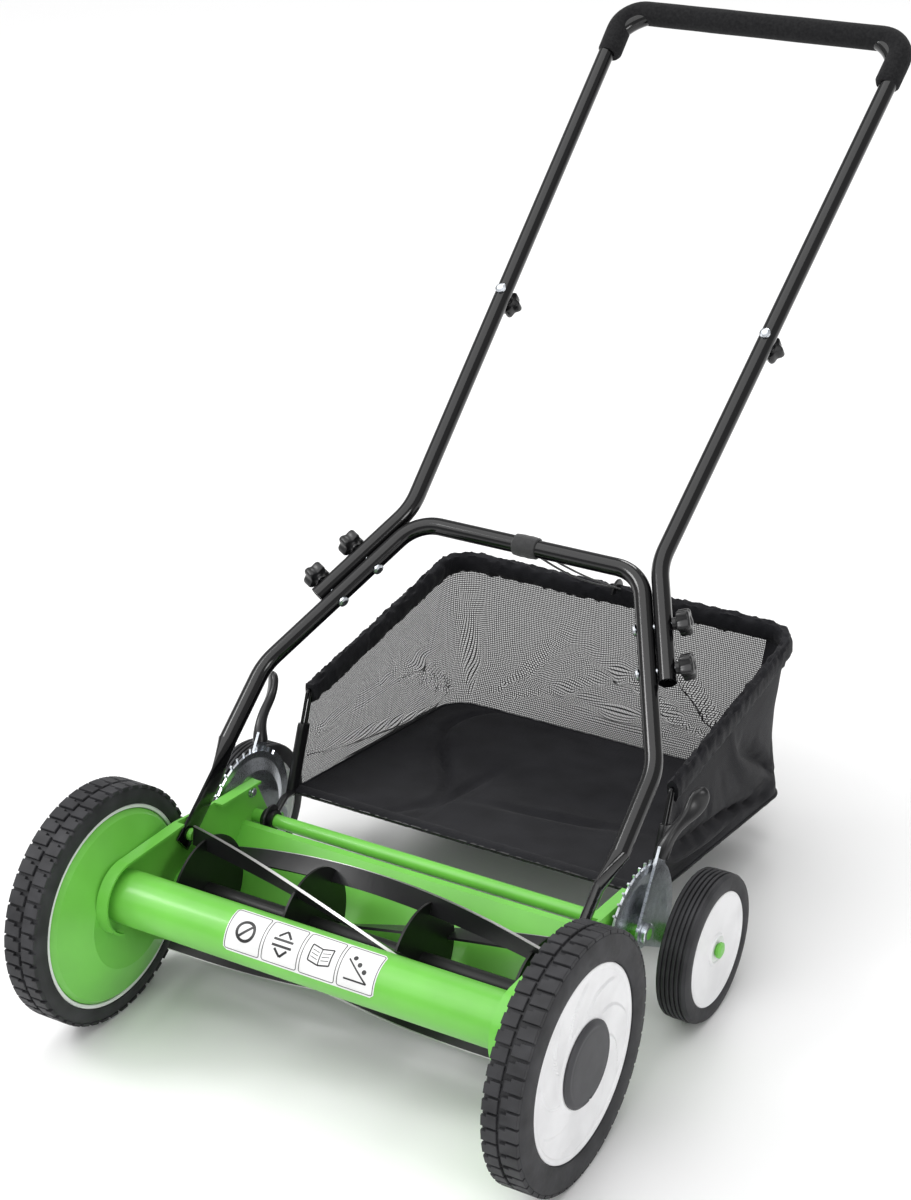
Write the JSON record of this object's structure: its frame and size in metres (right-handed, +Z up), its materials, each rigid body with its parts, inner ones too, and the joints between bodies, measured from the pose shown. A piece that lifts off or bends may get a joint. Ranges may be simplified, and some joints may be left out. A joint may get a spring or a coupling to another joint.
{
  "type": "reel mower",
  "caption": "Push reel mower: helical blade reel geared to its front wheels, adjustable rear wheels, sloping U handle and a hooked-on grass catcher.",
  "frame": {"origin": "on the ground, under the middle of the whole mower", "axes": "+Y from the reel towards the handlebar, +X across the width, +Z up"},
  "size_m": [0.6026, 1.1446, 0.8333],
  "materials": {
    "green_paint": "satin powder coat",
    "black_paint": "gloss powder coat",
    "reel_black": "satin with ground edges",
    "knife_steel": "satin",
    "zinc": "bright zinc plate",
    "tyre_black": "matte",
    "rim_white": "satin",
    "cap_grey": "fine grain",
    "gear_plastic": "satin",
    "gear_steel": "sintered",
    "black_plastic": "satin",
    "foam": "soft matte",
    "bag_fabric": "woven and mesh",
    "strap_web": "webbing"
  },
  "bodies": {
    "chassis": {"side_plate_right": "green_paint", "side_plate_left": "green_paint", "gear_cover_right": "green_paint", "gear_cover_left": "green_paint", "front_tube": "green_paint", "front_axles": "zinc", "reel_bearings": "green_paint", "bed_plate": "green_paint", "bedknife": "knife_steel", "bed_screws": "zinc", "rear_rod": "green_paint", "rod_sleeves": "black_plastic", "pivot_nuts": "zinc", "adjuster_sector_right": "zinc", "adjuster_sector_left": "zinc", "lower_handle": "black_paint", "middle_tube_right": "black_paint", "middle_tube_left": "black_paint", "upper_handle": "black_paint", "foam_grip": "foam", "knob_bolts": "zinc", "leg_bolts": "green_paint", "strap_collar": "strap_web"},
    "reel": {"reel_shaft": "reel_black", "reel_spiders": "reel_black", "reel_blade_1": "reel_black", "reel_blade_2": "reel_black", "reel_blade_3": "reel_black", "reel_blade_4": "reel_black", "reel_blade_5": "reel_black", "pinion_right": "gear_steel", "pinion_left": "gear_steel"},
    "catcher": {"catcher_frame": "black_paint", "catcher_bag": "bag_fabric", "catcher_strap": "strap_web"},
    "front_wheel_right": {"front_tyre_right": "tyre_black", "front_rim_right": "rim_white", "ring_gear_right": "gear_plastic", "hub_cap_right": "cap_grey"},
    "adjuster_right": {"adjuster_arm_right": "zinc", "lever_grip_right": "black_plastic", "rear_axle_right": "green_paint"},
    "rear_wheel_right": {"rear_tyre_right": "tyre_black", "rear_rim_right": "rim_white"},
    "front_wheel_left": {"front_tyre_left": "tyre_black", "front_rim_left": "rim_white", "ring_gear_left": "gear_plastic", "hub_cap_left": "cap_grey"},
    "adjuster_left": {"adjuster_arm_left": "zinc", "lever_grip_left": "black_plastic", "rear_axle_left": "green_paint"},
    "rear_wheel_left": {"rear_tyre_left": "tyre_black", "rear_rim_left": "rim_white"},
    "lap_knob_1_right": {"lap_knob_1_right": "black_plastic"},
    "lap_knob_1_left": {"lap_knob_1_left": "black_plastic"},
    "lap_knob_2_right": {"lap_knob_2_right": "black_plastic"},
    "lap_knob_2_left": {"lap_knob_2_left": "black_plastic"},
    "joint_knob_right": {"joint_knob_right": "black_plastic"},
    "joint_knob_left": {"joint_knob_left": "black_plastic"}
  },
  "joints": [
    {"name": "reel_spin", "type": "hinge", "parent": "chassis", "child": "reel", "pos_m": [0, -0.36627, 0.1144], "axis": [1, 0, 0], "continuous": true},
    {"name": "front_wheel_right_spin", "type": "hinge", "parent": "chassis", "child": "front_wheel_right", "pos_m": [0.27, -0.44527, 0.127], "axis": [1, 0, 0], "continuous": true},
    {"name": "height_right", "type": "hinge", "parent": "chassis", "child": "adjuster_right", "pos_m": [0.24, -0.23327, 0.122], "axis": [1, 0, 0], "range_deg": [-12, 16]},
    {"name": "rear_wheel_right_spin", "type": "hinge", "parent": "adjuster_right", "child": "rear_wheel_right", "pos_m": [0.28, -0.17177, 0.079], "axis": [1, 0, 0], "continuous": true},
    {"name": "front_wheel_left_spin", "type": "hinge", "parent": "chassis", "child": "front_wheel_left", "pos_m": [-0.27, -0.44527, 0.127], "axis": [1, 0, 0], "continuous": true},
    {"name": "height_left", "type": "hinge", "parent": "chassis", "child": "adjuster_left", "pos_m": [-0.24, -0.23327, 0.122], "axis": [1, 0, 0], "range_deg": [-12, 16]},
    {"name": "rear_wheel_left_spin", "type": "hinge", "parent": "adjuster_left", "child": "rear_wheel_left", "pos_m": [-0.28, -0.17177, 0.079], "axis": [1, 0, 0], "continuous": true},
    {"name": "catcher_lift", "type": "hinge", "parent": "chassis", "child": "catcher", "pos_m": [0, -0.23327, 0.122], "axis": [1, 0, 0], "range_deg": [0, 24], "deforming": ["catcher_strap"]},
    {"name": "lap_knob_1_right_turn", "type": "hinge", "parent": "chassis", "child": "lap_knob_1_right", "pos_m": [0.21174, -0.09916, 0.3485], "axis": [0.9026, 0.35, 0.2506], "continuous": true},
    {"name": "lap_knob_1_left_turn", "type": "hinge", "parent": "chassis", "child": "lap_knob_1_left", "pos_m": [-0.21174, -0.09916, 0.3485], "axis": [-0.9026, 0.35, 0.2506], "continuous": true},
    {"name": "lap_knob_2_right_turn", "type": "hinge", "parent": "chassis", "child": "lap_knob_2_right", "pos_m": [0.18979, -0.06173, 0.37529], "axis": [0.9026, 0.35, 0.2506], "continuous": true},
    {"name": "lap_knob_2_left_turn", "type": "hinge", "parent": "chassis", "child": "lap_knob_2_left", "pos_m": [-0.18979, -0.06173, 0.37529], "axis": [-0.9026, 0.35, 0.2506], "continuous": true},
    {"name": "joint_knob_right_turn", "type": "hinge", "parent": "chassis", "child": "joint_knob_right", "pos_m": [0.16176, 0.22684, 0.56984], "axis": [0, 0.5821, -0.8131], "continuous": true},
    {"name": "joint_knob_left_turn", "type": "hinge", "parent": "chassis", "child": "joint_knob_left", "pos_m": [-0.16176, 0.22684, 0.56984], "axis": [0, 0.5821, -0.8131], "continuous": true}
  ],
  "couplings": [
    {"joint": "front_wheel_right_spin", "follows": "reel_spin", "ratio": 0.15789},
    {"joint": "front_wheel_left_spin", "follows": "reel_spin", "ratio": 0.15789}
  ]
}
